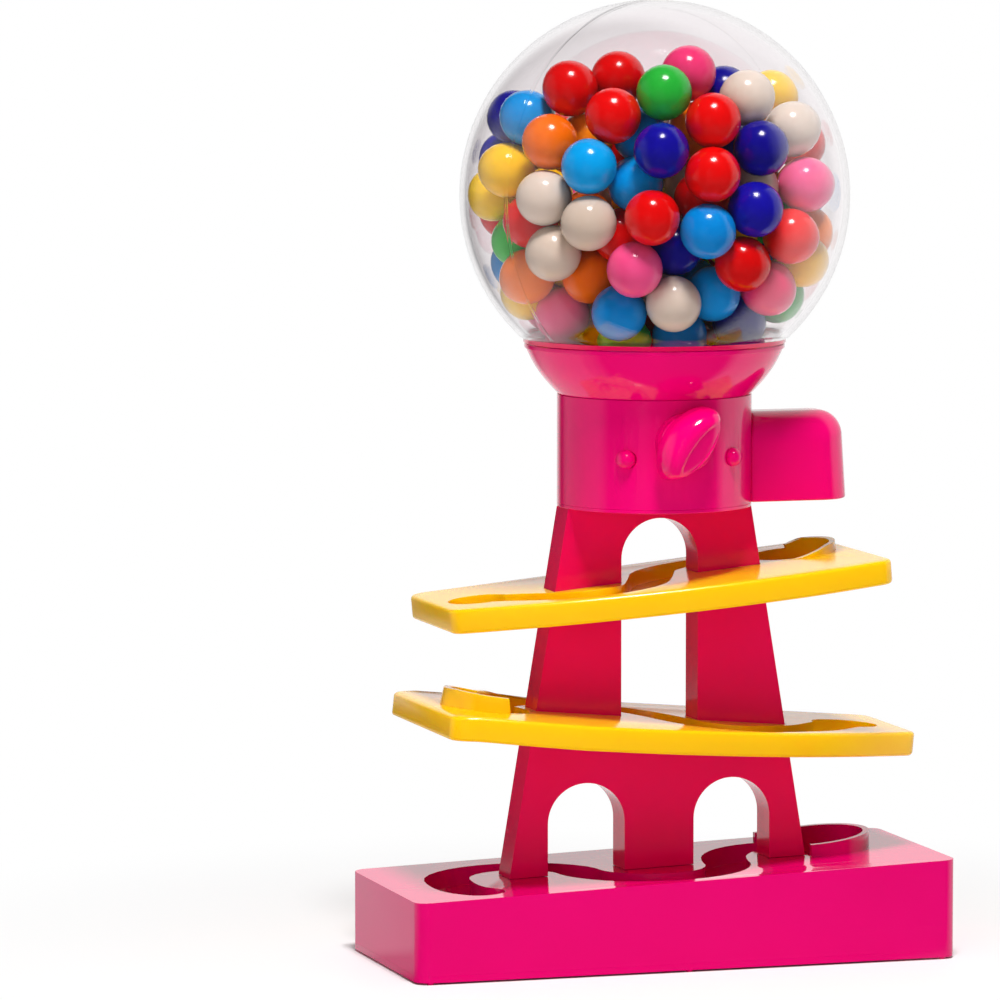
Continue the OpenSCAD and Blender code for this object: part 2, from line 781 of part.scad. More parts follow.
module exit_hood() {
    hook_y = 3;
    hook_t = 1.1;
    color(magenta) {
        difference() {
            union() {
                difference() {
                    hood_form(0, hood_z);
                    hood_form(hood_wall, hood_z - 2);
                }
                // Web that carries the hook
                translate([drum_r - 1, -hook_y, window_top - hook_t - seat_gap])
                    cube([3.4, 2 * hook_y, hood_z + hood_h - window_top]);
            }
            translate([0, 0, hood_z - 1]) cylinder(r = drum_r + seat_gap, h = far, $fn = 96);
        }
        // Hook through the top of the window
        translate([drum_in - 1.6, -hook_y, window_top - hook_t - seat_gap])
            cube([drum_wall + 2.6, 2 * hook_y, hook_t]);
        translate([drum_in - 1.6, -hook_y, window_top - hook_t - seat_gap])
            cube([1.2, 2 * hook_y, hook_t + 1]);
        for (y = [-peg_y, peg_y]) translate([drum_in - 2.2, y, peg_z]) rotate([0, 90, 0])
            cylinder(r = peg_r, h = 5);
    }
}

// ---- Funnel ----

funnel_wall = 2;
mouth_r = ball_r + 1.4;
mouth_z = knob_z + wheel_r + wheel_gap + 1.2;
neck_z = lip_z - neck_h + seat_gap;
spigot_h = 3;
socket_r = neck_r + 0.15;
neck_in = neck_r - neck_wall;

// Outside of the funnel: a convex sweep from the drum out to the lip
function funnel_r(t) = let (a = [drum_r - 0.2, lip_r - 0.4]) a[0] + (a[1] - a[0]) * sin(90 * t);
function funnel_z(t) = drum_top + (funnel_h - lip_band) * (1 - cos(90 * t)) * 0.42
    + (funnel_h - lip_band) * t * 0.58;

module funnel() {
    steps = 14;
    under = 3.2;
    shroud_r = wheel_r + wheel_gap + 1.6;
    color(magenta) difference() {
        union() {
            rotate_extrude($fn = 96) polygon(concat(
                [for (i = [0 : steps]) [funnel_r(i / steps), funnel_z(i / steps)]],
                [[lip_r, lip_z - lip_band], [lip_r, lip_z], [socket_r, lip_z],
                    [socket_r, neck_z - seat_gap], [neck_in, neck_z - seat_gap],
                    [mouth_r, mouth_z], [mouth_r, mouth_z - 1.2], [mouth_r + 2, mouth_z - 1.2],
                    [neck_in - 4, neck_z - under], [drum_in - 1.8, drum_top],
                    [drum_in - 1.8, drum_top - spigot_h], [drum_in - seat_gap, drum_top - spigot_h],
                    [drum_in - seat_gap, drum_top]]));
            // Shroud that keeps the ball in the wheel's cup
            difference() {
                rod_y(shroud_r, 0, knob_z, -plate_y, plate_y);
                translate([-far, -far, 0]) cube([2 * far, 2 * far, knob_z + shroud_low]);
                translate([0, 0, mouth_z - 0.6]) linear_extrude(far) square(far, center = true);
            }
        }
        rod_y(wheel_r + wheel_gap, 0, knob_z, -plate_y - 1, plate_y + 1);
        translate([0, 0, knob_z]) cylinder(r = mouth_r, h = far);
        // Bayonet: entry slots, and grooves that the lugs turn in
        for (i = [0 : lugs - 1]) rotate(i * 360 / lugs) {
            bayonet_cut(neck_z + 0.5, lip_z + 1, bayonet_twist, bayonet_twist, lug_play / 2);
            bayonet_cut(neck_z - seat_gap, neck_z + lug_h + 2 * seat_gap, 0, bayonet_twist, lug_play);
        }
    }
}

shroud_low = 2.8;

// Part-ring cut in the socket wall, for a lug turned from a0 to a1, with some play
module bayonet_cut(z_low, z_high, a0, a1, play) {
    half = asin(lug_w / 2 / neck_r) + 2 * play;
    translate([0, 0, z_low]) rotate(a0 - half) rotate_extrude(angle = a1 - a0 + 2 * half, $fn = 96)
        translate([neck_in + 1, 0]) square([lug_out + neck_wall - 1 + play, z_high - z_low]);
}

// ---- Knob and wheel ----

knob_turn = 52;
knob_disc_r = 6.7;
knob_disc_t = 2.4;
leaf_l = 10;
leaf_w = 5.4;
leaf_h = 9;
socket_end = wheel_half + 0.8;

// Frame on the knob's axis at a distance y in front: z points outwards, x along the handle
module knob_frame(y) {
    translate([0, -y, knob_z]) rotate([90, 0, 0]) rotate(knob_turn) children();
}

module knob() {
    leaf_r = (pow(leaf_l, 2) + pow(leaf_w, 2)) / (2 * leaf_w);
    ridge_r = 7;
    color(magenta) difference() {
        union() {
            knob_frame(pad_y + seat_gap) {
                cylinder(r = knob_disc_r, h = knob_disc_t);
                intersection() {
                    translate([0, 0, 0.5]) linear_extrude(leaf_h) intersection() {
                        translate([0, leaf_r - leaf_w]) circle(leaf_r, $fn = 96);
                        translate([0, leaf_w - leaf_r]) circle(leaf_r, $fn = 96);
                        circle(leaf_l - 0.5);
                    }
                    // Rounded ridge, and rounded ends
                    translate([-far, 0.6, leaf_h + 0.5 - ridge_r]) rotate([0, 90, 0])
                        cylinder(r = ridge_r, h = 2 * far);
                    translate([0, 0, leaf_h + 0.5 - 13]) sphere(r = 13, $fn = 96);
                }
            }
            // Journal in the drum's wall, square shank in the wheel's hub
            rod_y(journal_r, 0, knob_z, -pad_y - 0.5, -drum_in + 0.6);
            knob_frame(0) translate([-square_w / 2, -square_w / 2, socket_end + 0.4])
                cube([square_w, square_w, drum_in - socket_end]);
        }
        // Slanted facet with a shallow plain recess
        knob_frame(pad_y + seat_gap) translate([0, -2.2, leaf_h - 1.9]) rotate([facet_tilt, 0, 0]) {
            translate([-far, -far, 0]) cube([2 * far, 2 * far, far]);
            translate([0, -1.6, -0.5]) linear_extrude(far) {
                square([7.4, 3.6], center = true);
                for (s = [-1, 1]) translate([s * 3.7, 0]) circle(1.8);
            }
        }
    }
}

facet_tilt = 38;

module ball_wheel() {
    cup_at = wheel_r - ball_r;
    color(yellow) difference() {
        union() {
            rod_y(wheel_r, 0, knob_z, -wheel_half, wheel_half);
            rod_y(hub_r, 0, knob_z, -drum_in + 1, -wheel_half + 1);
            rod_y(journal_r, 0, knob_z, wheel_half - 1, plate_y + plate_t + 0.8);
        }
        // Cup for one ball, square to the handle
        knob_frame(0) rotate([90, 0, 0]) {
            translate([0, 0, cup_at]) cylinder(r = cup_r, h = far);
            translate([0, 0, cup_at]) sphere(r = cup_r);
        }
        // Socket of the knob's shank
        knob_frame(0) translate([-square_w / 2 - seat_gap / 2, -square_w / 2 - seat_gap / 2, socket_end])
            cube([square_w + seat_gap, square_w + seat_gap, far]);
    }
}

// ---- Globe ----

flange_r = 31.6;
globe_flange_t = 1.1;

module globe() {
    z = lip_z + seat_gap;
    color([0.95, 0.9, 0.95, 0.35]) {
        difference() {
            translate([0, 0, globe_z]) sphere(r = globe_r, $fn = 128);
            translate([0, 0, globe_z]) sphere(r = globe_r - globe_wall, $fn = 128);
            translate([0, 0, z + globe_flange_t - far]) cylinder(r = far, h = far - eps);
        }
        difference() {
            union() {
                translate([0, 0, z]) cylinder(r = flange_r, h = globe_flange_t, $fn = 96);
                translate([0, 0, z - neck_h]) cylinder(r = neck_r, h = neck_h + eps, $fn = 96);
                for (i = [0 : lugs - 1]) rotate(i * 360 / lugs) intersection() {
                    translate([0, 0, z - neck_h + seat_gap]) cylinder(r = neck_r + lug_out, h = lug_h, $fn = 96);
                    translate([0, -lug_w / 2, 0]) cube([far, lug_w, far]);
                }
            }
            translate([0, 0, z - neck_h - 1]) cylinder(r = neck_in, h = neck_h + 4, $fn = 96);
        }
    }
}

// ---- Gumballs ----

// They lie in close-packed layers, over a ring of six in the funnel. The mouth below the
// ring is open: the last ball has just been handed out.
pitch = ball_d + 0.05;
layer_h = pitch * sqrt(2 / 3);
cone_rise = (neck_z - mouth_z) / (neck_in - mouth_r);
ring_z = mouth_z + cone_rise * (pitch - mouth_r) + ball_r * sqrt(1 + cone_rise * cone_rise) + seat_gap;
fill_z = globe_z + 27;
room_r = globe_r - globe_wall - ball_r - seat_gap;
span = ceil(globe_r / ball_d) + 1;

// Ball (i, j) of layer k
function ball_at(i, j, k) = [pitch * (i + j / 2 + (k % 2) / 2),
    pitch * sqrt(3) * (j / 2 + (k % 2) / 6), ring_z + k * layer_h];

ring_balls = [for (i = [-1 : 1]) for (j = [-1 : 1]) if (i != j) ball_at(i, j, 0)];
heap_balls = [for (k = [1 : 6]) for (i = [-span : span]) for (j = [-span : span])
    let (p = ball_at(i, j, k)) if (p[2] < fill_z && norm(p - [0, 0, globe_z]) < room_r) p];
balls = concat(ring_balls, heap_balls);

// Every ball whose place in the mix is k
module gumballs(k, tint) {
    color(tint) for (i = [0 : len(balls) - 1]) {
        if ((i * 5 + floor(i / 7) * 3) % 8 == k) translate(balls[i]) sphere(r = ball_r);
    }
}

base_shell();
base_cover();
cover_screws();
foot_screws();
tower_front();
tower_back();
tower_screws();
lower_track();
upper_track();
drum_floor();
floor_screws();
drum();
ball_chute();
chute_pins();
exit_hood();
funnel();
knob();
ball_wheel();
globe();
gumballs(0, "#d8122a");  // gumballs_red
gumballs(1, "#f77a12");  // gumballs_orange
gumballs(2, "#f7d21a");  // gumballs_yellow
gumballs(3, "#f4f1ee");  // gumballs_white
gumballs(4, "#6fb4e6");  // gumballs_light_blue
gumballs(5, "#2b3fb0");  // gumballs_royal_blue
gumballs(6, "#f07ab8");  // gumballs_pink
gumballs(7, "#2aa05a");  // gumballs_green
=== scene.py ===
import json

import bmesh
import bpy
import numpy as np
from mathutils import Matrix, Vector
from mathutils.geometry import convex_hull_2d


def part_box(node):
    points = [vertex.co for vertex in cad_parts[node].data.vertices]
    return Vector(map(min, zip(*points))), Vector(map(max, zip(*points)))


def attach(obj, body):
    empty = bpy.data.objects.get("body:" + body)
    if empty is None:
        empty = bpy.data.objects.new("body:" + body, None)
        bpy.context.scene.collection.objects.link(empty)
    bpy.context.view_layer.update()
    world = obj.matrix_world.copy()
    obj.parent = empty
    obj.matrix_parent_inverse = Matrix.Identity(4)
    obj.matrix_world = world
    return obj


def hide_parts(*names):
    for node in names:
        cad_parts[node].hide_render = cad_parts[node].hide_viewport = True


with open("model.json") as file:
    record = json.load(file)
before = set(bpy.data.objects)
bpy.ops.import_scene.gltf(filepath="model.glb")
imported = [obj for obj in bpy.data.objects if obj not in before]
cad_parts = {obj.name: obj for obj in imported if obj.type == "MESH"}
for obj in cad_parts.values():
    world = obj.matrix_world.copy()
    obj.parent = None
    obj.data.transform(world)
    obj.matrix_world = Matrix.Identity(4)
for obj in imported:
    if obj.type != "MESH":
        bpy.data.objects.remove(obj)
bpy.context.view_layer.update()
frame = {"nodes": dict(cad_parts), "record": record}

# --- Moulded plastic ---
# The machine's coloured pieces are injection moulded and polished. A mould leaves faint
# flow ripples, and handling a few hairline scratches; a shader node group holds both.


def linear(red, green, blue):
    """The linear value of a colour named by its three 0 to 255 screen values."""
    c = np.array([red, green, blue]) / 255.0
    return tuple(np.where(c <= 0.04045, c / 12.92, ((c + 0.055) / 1.055) ** 2.4)) + (1.0,)


def maths(tree, kind, *values):
    """One Math node. Each value is a number or the output of another node."""
    step = tree.nodes.new("ShaderNodeMath")
    step.operation = kind
    for socket, value in zip(step.inputs, values):
        if isinstance(value, (int, float)):
            socket.default_value = value
        else:
            tree.links.new(value, socket)
    return step.outputs["Value"]


def noise(tree, place, scale, detail):
    """A noise from 0 to 1 over a place; detail is how many finer layers it has."""
    field = tree.nodes.new("ShaderNodeTexNoise")
    field.inputs["Scale"].default_value = scale
    field.inputs["Detail"].default_value = detail
    tree.links.new(place, field.inputs["Vector"])
    return field.outputs["Fac"]


def ramp(tree, value, start=(0.0, 1.0), end=(0.0, 1.0), smooth=False):
    """A value that goes between the two of start is made to go between the two of end."""
    step = tree.nodes.new("ShaderNodeMapRange")
    step.interpolation_type = "SMOOTHSTEP" if smooth else "LINEAR"
    for name, amount in zip(("From Min", "From Max", "To Min", "To Max"), start + end):
        step.inputs[name].default_value = amount
    tree.links.new(value, step.inputs["Value"])
    return step.outputs["Result"]


def tinted(tree, shader, share, deep, pale):
    """The shader's colour goes from deep to pale with a share."""
    tint = tree.nodes.new("ShaderNodeMix")
    tint.data_type = "RGBA"
    tint.inputs["A"].default_value = deep
    tint.inputs["B"].default_value = pale
    tree.links.new(share, tint.inputs["Factor"])
    tree.links.new(tint.outputs["Result"], shader.inputs["Base Color"])


def bumped(tree, shader, height, strength, distance):
    """The shader's surface seems raised and sunk by a height."""
    bump = tree.nodes.new("ShaderNodeBump")
    bump.inputs["Strength"].default_value = strength
    bump.inputs["Distance"].default_value = distance
    tree.links.new(height, bump.inputs["Height"])
    tree.links.new(bump.outputs["Normal"], shader.inputs["Normal"])


def mould_group():
    """Ripples are a slow noise, scratches the ridges of a noise drawn out along one line.
    Gives the height of both, the scratches for the roughness and a slow shade."""
    group = bpy.data.node_groups.new("mould_marks", "ShaderNodeTree")
    for name, value in (("Ripple", 0.3), ("Scratch", 0.5)):
        socket = group.interface.new_socket(name, in_out="INPUT", socket_type="NodeSocketFloat")
        socket.default_value = value
    for name in ("Height", "Rough", "Shade"):
        group.interface.new_socket(name, in_out="OUTPUT", socket_type="NodeSocketFloat")
    node, link = group.nodes.new, group.links.new
    given, out = node("NodeGroupInput"), node("NodeGroupOutput")
    place = node("ShaderNodeTexCoord").outputs["Object"]
    ripple = noise(group, place, 45.0, 1.0)
    drawn = node("ShaderNodeMapping")
    drawn.inputs["Rotation"].default_value = (0.3, 0.5, 0.9)
    drawn.inputs["Scale"].default_value = (9.0, 260.0, 260.0)
    link(place, drawn.inputs["Vector"])
    ridge = ramp(group, noise(group, drawn.outputs["Vector"], 3.0, 2.0), (0.66, 0.78))
    soft = maths(group, "MULTIPLY", ripple, given.outputs["Ripple"])
    cut = maths(group, "MULTIPLY", ridge, given.outputs["Scratch"])
    link(maths(group, "SUBTRACT", soft, cut), out.inputs["Height"])
    link(cut, out.inputs["Rough"])
    link(ripple, out.inputs["Shade"])
    return group


mould_marks = mould_group()


def plastic(name, deep, pale, roughness, glow=0.0):
    """Glossy plastic: its colour wanders between deep and pale, and its scratches are rougher
    than the rest. glow is the share of light that comes out again from inside the plastic."""
    material = bpy.data.materials.new(name)
    material.use_nodes = True
    tree = material.node_tree
    shader = tree.nodes["Principled BSDF"]
    marks = tree.nodes.new("ShaderNodeGroup")
    marks.node_tree = mould_marks
    marks.inputs["Ripple"].default_value = 0.3
    marks.inputs["Scratch"].default_value = 0.4
    tinted(tree, shader, marks.outputs["Shade"], deep, pale)
    rough = ramp(tree, marks.outputs["Rough"], end=(roughness, roughness + 0.12))
    tree.links.new(rough, shader.inputs["Roughness"])
    bumped(tree, shader, marks.outputs["Height"], 0.12, 0.0004)
    shader.inputs["IOR"].default_value = 1.5
    shader.inputs["Subsurface Weight"].default_value = glow
    shader.inputs["Subsurface Radius"].default_value = (0.006, 0.003, 0.0006)
    shader.inputs["Subsurface Scale"].default_value = 1.0
    return material


magenta = plastic("magenta_plastic", linear(236, 0, 106), linear(244, 0, 118), 0.09)
# The base's copy of the magenta is a little darker than the same plastic elsewhere: painted shade on
# the base
base_painted_shade_magenta = plastic("base_painted_shade_magenta_plastic", linear(221, 0, 104), linear(229, 0, 112), 0.09)
# The tower's copy is darker and redder than the same plastic elsewhere: painted shade for the tower
# standing in the tracks' shadow
painted_shade_magenta = plastic("painted_shade_magenta_plastic", linear(232, 0, 80), linear(240, 0, 94), 0.12)
yellow = plastic("yellow_plastic", linear(255, 190, 4), linear(255, 198, 12), 0.16, glow=0.4)

bodies = frame["record"]["behaviour"]["bodies"]
body_of_node = {node: body for body, nodes in bodies.items() for node in nodes}


def moulded(node, material, fit=None, rim=0.0, cuts=()):
    """A mould's edges are rounded: the node's faces, joined, with each sharp edge rolled over.
    fit takes all points as x, y, z rows and returns them at their finished places. rim is
    the larger rounding of a track's outer edges. cuts are values of x at which the faces
    get a row of points, for fit to move."""
    merge_gap, edge_round, sharp_angle = 2e-6, 0.00035, 0.55
    outline_band, outer_angle = 0.0009, 0.5
    work = bmesh.new()
    work.from_mesh(frame["nodes"][node].data)
    bmesh.ops.remove_doubles(work, verts=work.verts, dist=merge_gap)
    bmesh.ops.dissolve_limit(
        work, angle_limit=0.01, verts=work.verts, edges=work.edges, delimit={"NORMAL"}
    )
    for x in cuts:
        bmesh.ops.bisect_plane(work, geom=work.verts[:] + work.edges[:] + work.faces[:],
                               plane_co=(x, 0, 0), plane_no=(1, 0, 0))
    if rim:
        # An outer edge has both its ends near the outline that the piece has from above
        work.verts.index_update()
        plan = np.array([v.co.to_2d() for v in work.verts])
        hull = plan[convex_hull_2d([tuple(point) for point in plan])]
        along = np.roll(hull, -1, axis=0) - hull
        off = plan[:, None] - hull
        off = np.abs(along[:, 0] * off[..., 1] - along[:, 1] * off[..., 0])
        at_outline = (off / np.linalg.norm(along, axis=1)).min(axis=1) < outline_band
        outer = [e for e in work.edges if e.is_manifold and e.calc_face_angle() > outer_angle
                 and all(at_outline[v.index] for v in e.verts)]
        bmesh.ops.bevel(work, geom=outer, offset=rim, segments=4, profile=0.5,
                        affect="EDGES", clamp_overlap=False)
    mesh = bpy.data.meshes.new(node + "_moulded")
    work.to_mesh(mesh)
    work.free()
    if fit:
        points = np.empty(3 * len(mesh.vertices))
        mesh.vertices.foreach_get("co", points)
        mesh.vertices.foreach_set("co", fit(points.reshape(-1, 3)).ravel())
    mesh.materials.clear()
    mesh.materials.append(material)
    mesh.shade_smooth()
    mesh.set_sharp_from_angle(angle=sharp_angle)
    piece = bpy.data.objects.new(node + "_moulded", mesh)
    bpy.context.collection.objects.link(piece)
    round_edges = piece.modifiers.new("rounded_edges", "BEVEL")
    round_edges.width = edge_round
    round_edges.segments = 3
    round_edges.limit_method = "ANGLE"
    round_edges.angle_limit = sharp_angle
    round_edges.use_clamp_overlap = True
    round_edges.harden_normals = True
    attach(piece, body_of_node[node])
    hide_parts(node)
    return piece


def guard_drawn_down(points, arm, tilt, closed_end, reach, keep):
    """One arm of the guard wall on a tilted track runs out to its end. The height over the
    deck of each point that arm marks is multiplied by keep, a curve over its distance from
    the track's closed end. The deck's height is read along the front, where no guard is."""
    deck_front = -0.02
    side, up = np.sin(np.radians(tilt)), np.cos(np.radians(tilt))
    height = points[:, 2] * up - points[:, 0] * side
    over = np.maximum(height - height[points[:, 1] < deck_front].max(), 0)
    away = np.abs(points[:, 0] - closed_end)
    drop = over * (1 - np.interp(away, reach, keep)) / up
    points[:, 2] -= np.where(arm, drop, 0)
    return points


def upper_ends(points):
    """The upper track's ends at their finished reach, and a third of a degree more tilt."""
    tilt, closed_end = 5.3, 0.0492
    lift, more_slope = 0.0002, 0.0053
    front = points[:, 1] < 0.007
    for arm, reach, keep in ((front, (0, 0.0055, 0.0142), (0.72, 0.68, 0.02)),
                             (~front, (0, 0.0055, 0.0092), (0.72, 0.7, 0.3))):
        points = guard_drawn_down(points, arm, tilt, closed_end, reach, keep)
    x = points[:, 0].copy()
    points[:, 2] += lift + more_slope * x
    points[:, 0] = np.interp(x, (-0.0545, -0.03, 0.03, 0.053), (-0.0552, -0.03, 0.03, 0.0518))
    return points


def lower_ends(points):
    """The lower track's ends, the basin at its inlet and its back edge at their finished
    places: x and y are stretched in a few straight steps. A line through the basin parts
    the guard's front arm from its back arm."""
    tilt, closed_end = -5, -0.0588
    front = points[:, 1] < np.interp(
        points[:, 0], (-0.06, -0.05, -0.046, -0.036, -0.028), (-0.004, -0.002, 0.003, 0.01, 0.013))
    for arm, reach, keep in ((front, (0, 0.008, 0.0138, 0.0142), (0.7, 0.8, 0.92, 0.02)),
                             (~front, (0, 0.02, 0.034), (0.7, 0.62, 0.02))):
        points = guard_drawn_down(points, arm, tilt, closed_end, reach, keep)
    x, y = points[:, 0], points[:, 1]
    points[:, 0] = np.interp(x, (-0.0615, -0.058, -0.035, -0.028, 0.03, 0.061),
                             (-0.0592, -0.0525, -0.0335, -0.028, 0.03, 0.0648))
    points[:, 1] = np.interp(y, (-0.032, 0.018, 0.028), (-0.032, 0.018, 0.0255))
    return points


# The base and its cover take the darker copy: painted shade
for node in ("base_shell", "base_cover"):
    moulded(node, base_painted_shade_magenta)
for node in ("drum_floor", "drum"):
    moulded(node, magenta)
# The tower halves take the darker, redder copy: painted shade
for node in ("tower_front", "tower_back"):
    moulded(node, painted_shade_magenta)
track_rim = 0.0009
# The front arm of the lower guard ends in a step between these two rows of points
guard_step = (-0.045, -0.0446)
moulded("upper_track", yellow, upper_ends, rim=track_rim)
moulded("lower_track", yellow, lower_ends, rim=track_rim, cuts=guard_step)

# --- Exit hood ---
# A thin-walled moulded cap over the drum's window, open below, where a gumball drops on the
# upper track. Its top edges and its end are rounded in one sweep.

hood_low, hood_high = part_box("exit_hood")
# The hood's wall starts 0.1 mm clear of the drum's
hood_start_r = 0.0236


def hood_skin():
    """Outside of the hood. In plan it runs from the drum, x = sqrt(r^2 - y^2), along a side,
    round a corner of 8.5 mm and straight over the end, and back the same way. A row is that
    line at one height: the end leans in by 1 mm, then all rolls over on a quarter circle.
    Its radius is 7.8 mm at the sides and 6 mm at the end, and goes from one to the other
    with the square of the outward direction's x."""
    corner, side_roll, end_roll, lean = 0.0085, 0.0078, 0.006, 0.001
    bend_x, bend_y = hood_high[0] - corner, hood_high[1] - corner
    along = np.linspace(0, 1, 10)[:-1]
    turn = np.linspace(0, np.pi / 2, 14)
    # Share of the way from the drum to the bend, and the outward direction
    share = np.concatenate([along, 1 + 0 * turn])
    out = np.stack([np.concatenate([0 * along, np.sin(turn)]),
                    -np.concatenate([1 + 0 * along, np.cos(turn)])], axis=1)
    share = np.concatenate([share, share[::-1]])
    out = np.concatenate([out, out[::-1] * (1, -1)])
    mid_y = np.repeat((-bend_y, bend_y), len(share) // 2)
    roll = side_roll + (end_roll - side_roll) * out[:, 0]**2
    rows = [(up, 0.0) for up in np.linspace(0, 1, 6)]
    rows += [(1.0, a) for a in np.linspace(0, np.pi / 2, 14)[1:]]
    grid = []
    for up, a in rows:
        inset = corner - roll * (1 - np.cos(a))
        z = hood_low[2] + (hood_high[2] - roll - hood_low[2]) * up + roll * np.sin(a)
        y = mid_y + out[:, 1] * inset
        end = bend_x + out[:, 0] * inset - lean * up
        start = np.sqrt(hood_start_r**2 - y**2)
        grid.append(np.stack([start + (end - start) * share, y, z], axis=1))
    return np.stack(grid)


def grid_faces(rows, across, closed):
    """Four-sided faces between neighbours in a grid of points that are numbered row by row.
    closed joins the end of each row to its start."""
    steps = across if closed else across - 1
    i, k = np.meshgrid(np.arange(rows - 1), np.arange(steps), indexing="ij")
    n = (k + 1) % across
    return np.stack([i * across + k, i * across + n, (i + 1) * across + n, (i + 1) * across + k],
                    axis=-1).reshape(-1, 4)


def new_piece(name, points, faces, material):
    """A piece at the origin with doubled points merged and its faces turned outwards."""
    mesh = bpy.data.meshes.new(name)
    mesh.from_pydata(points.reshape(-1, 3).tolist(), [], faces)
    work = bmesh.new()
    work.from_mesh(mesh)
    bmesh.ops.remove_doubles(work, verts=work.verts, dist=1e-7)
    bmesh.ops.recalc_face_normals(work, faces=work.faces)
    work.to_mesh(mesh)
    work.free()
    mesh.materials.append(material)
    piece = bpy.data.objects.new(name, mesh)
    bpy.context.collection.objects.link(piece)
    return piece


skin = hood_skin()
rows, across = skin.shape[:2]
hood_top = list(range((rows - 1) * across, rows * across))
hood = new_piece("exit_hood_cap", skin, grid_faces(rows, across, False).tolist() + [hood_top],
                 magenta)
# The skin is open below, so its top tells which way the faces point
top_face = max(hood.data.polygons, key=lambda face: face.center.z)
if top_face.normal.z < 0:
    hood.data.flip_normals()
hood.data.shade_smooth()
hood.data.set_sharp_from_angle(angle=0.6)
hood_wall = hood.modifiers.new("wall", "SOLIDIFY")
hood_wall.thickness = 0.0015
hood_wall.offset = -1
hood_edges = hood.modifiers.new("rounded_edges", "BEVEL")
hood_edges.width = 0.0005
hood_edges.segments = 3
hood_edges.limit_method = "ANGLE"
hood_edges.angle_limit = 0.6
hood_edges.harden_normals = True
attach(hood, body_of_node["exit_hood"])
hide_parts("exit_hood")

# --- Knob and buttons ---
# The knob is one moulding: a stepped round collar, a leaf-shaped grip with a slanted facet
# that has a bare oval recess, and a shank, round in the drum's wall and square in the hub.
# Two domed buttons beside it are the heads of the pins that hold the chute inside.


def solid_faces(rows, turns):
    """Faces of a grid whose rows close on themselves, with one more over either end."""
    ends = [list(range(turns))[::-1], list(range((rows - 1) * turns, rows * turns))]
    return grid_faces(rows, turns, True).tolist() + ends


def solid(name, grid, material):
    """A smooth solid of a grid of points: row i joins row i + 1, and each row is a loop."""
    piece = new_piece(name, grid, solid_faces(*grid.shape[:2]), material)
    piece.data.shade_smooth()
    piece.data.set_sharp_from_angle(angle=0.9)
    return piece


knob_low, knob_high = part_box("knob")
knob_z = (knob_low[2] + knob_high[2]) / 2
# Distances outwards start here, just clear of the drum's bearing pad
pad_front = -0.0245


def on_knob(along, across, out):
    """Place in the machine of points by the handle: along it, across it and outwards."""
    turn = np.radians(52)
    return np.stack([along * np.cos(turn) - across * np.sin(turn), pad_front - out,
                     knob_z + along * np.sin(turn) + across * np.cos(turn)], axis=-1)


def stem():
    """Collar and shank: at each height a superellipse, |x/r|^n + |y/r|^n = 1, whose power
    n goes from 2, a circle, to 10, a square with soft corners."""
    rows = np.array([
        (0.0, 0.0034, 2), (0.0032, 0.0034, 2), (0.0056, 0.0034, 2), (0.0058, 0.0033, 2),
        (0.0059, 0.0028, 2), (0.0059, 0.0024, 2), (0.0058, 0.0023, 2), (0.006, 0.0021, 2),
        (0.0062, 0.0018, 2), (0.0062, 0.0014, 2), (0.0061, 0.0013, 2), (0.0064, 0.0011, 2),
        (0.0067, 0.0008, 2), (0.0067, 0.0003, 2), (0.0066, 0.0001, 2), (0.0031, 0.0001, 2),
        (0.0031, -0.0028, 2), (0.003, -0.003, 2), (0.0019, -0.003, 10), (0.0019, -0.0141, 10),
        (0.0017, -0.0143, 10), (0.0, -0.0143, 10)])
    angle = 2 * np.pi * np.arange(96) / 96
    radius, out, power = (rows[:, i][:, None] for i in range(3))
    swell = (np.abs(np.cos(angle)) ** power + np.abs(np.sin(angle)) ** power) ** (-1 / power)
    return on_knob(radius * swell * np.cos(angle), radius * swell * np.sin(angle),
                   out + 0 * angle)


def leaf():
    """Grip: leaf outline |x/a|^1.8 + |y/b|^1.8 = 1, drawn in by s up a low wall and over the
    crown. Its height is the lower of the crown and a slanted facet, blended over 0.7 mm,
    less an oval recess with a soft rim."""
    step = np.linspace(0, 1, 10)[:, None]
    wall_s, wall_out = 1 - 0.02 * step**1.5, 0.0008 + 0.002 * step
    arc = np.linspace(0, np.pi / 2, 56)[1:, None]
    crown_s, crown_out = 0.98 * np.cos(arc) ** 0.85, 0.0028 + 0.0065 * np.sin(arc)
    s, out = np.vstack([wall_s, crown_s]), np.vstack([wall_out, crown_out])
    angle = 2 * np.pi * np.arange(176) / 176
    half = np.where(np.sin(angle) > 0, 0.0064, 0.0053)
    reach = ((np.abs(np.cos(angle)) / 0.0103) ** 1.8
             + (np.abs(np.sin(angle)) / half) ** 1.8) ** (-1 / 1.8)
    x, y = s * reach * np.cos(angle), s * reach * np.sin(angle)
    facet = 0.0086 + 0.4 * (y - 0.0015)
    soft = 0.0006
    out = np.where(out > 0.003, -soft * np.logaddexp(-out / soft, -facet / soft), out)
    oval = np.hypot(x / 0.0074, (y + 0.0018) / 0.0023)
    rim = np.clip((1.1 - oval) / 0.2, 0, 1)
    inside = (out > 0.003) & (y < 0.001)
    return on_knob(x, y, out - inside * 0.0005 * rim**2 * (3 - 2 * rim))


for name, grid in (("knob_stem", stem()), ("knob_leaf", leaf())):
    piece = solid(name, grid, magenta)
    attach(piece, body_of_node["knob"])
    if name == "knob_leaf":
        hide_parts("knob")

